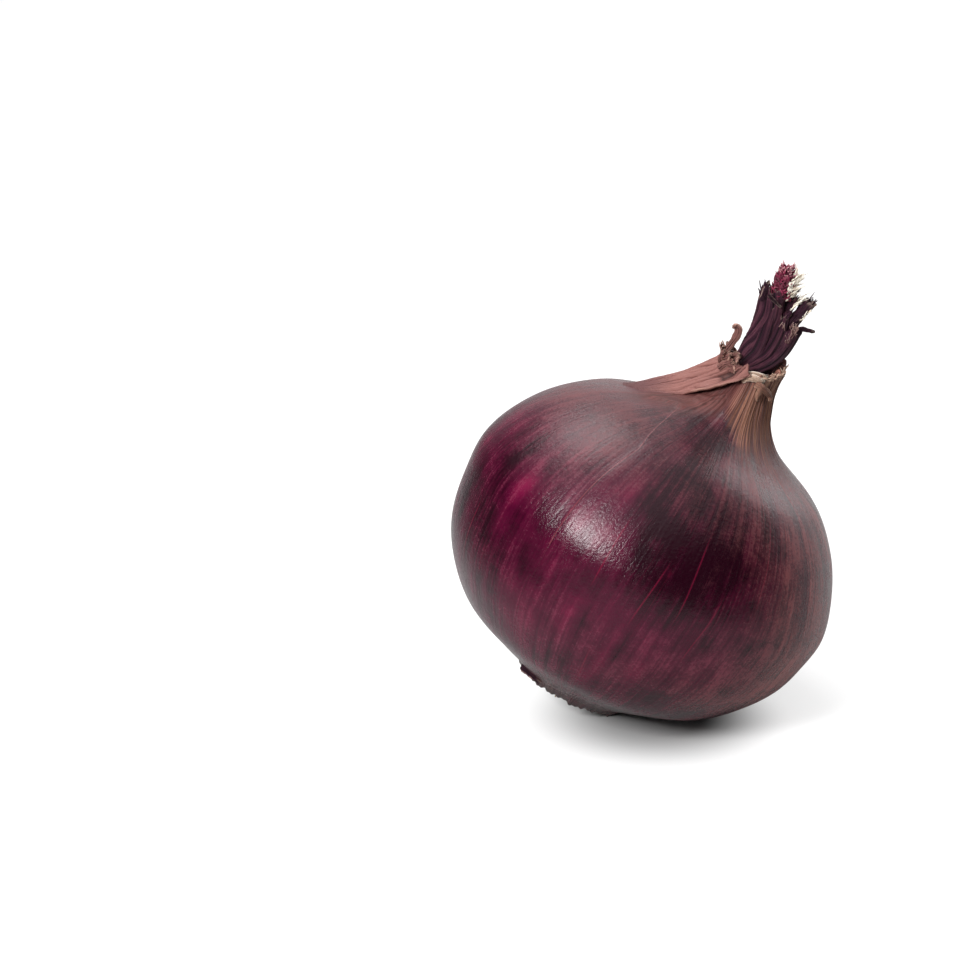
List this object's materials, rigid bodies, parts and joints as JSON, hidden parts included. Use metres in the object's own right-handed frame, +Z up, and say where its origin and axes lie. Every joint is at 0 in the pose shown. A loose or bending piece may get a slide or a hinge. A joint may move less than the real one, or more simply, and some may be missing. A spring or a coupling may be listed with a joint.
{
  "type": "red onion",
  "caption": "Whole red onion lying at rest, with a glossy papery skin, a dry pleated neck, a torn dark stem and a corky root plate.",
  "frame": {"origin": "centre of the flat spot that the bulb rests on", "axes": "+Z up, the neck leans towards +X, the front of the picture faces -Y"},
  "size_m": [0.0748, 0.0769, 0.0895],
  "materials": {
    "bulb_skin": "glossy papery skin, deep purple red with fine veins",
    "dry_skin": "matt dry skin, pinkish brown",
    "stem_leaf": "matt dried leaf, dark plum",
    "stem_heart": "matt torn leaf, magenta",
    "roots": "matt corky plate and dry roots, grey brown"
  },
  "bodies": {
    "root": {"bulb": "bulb_skin", "loose_skin": "dry_skin", "stem": "stem_leaf", "stem_heart": "stem_heart", "root_plate": "roots"}
  },
  "joints": []
}
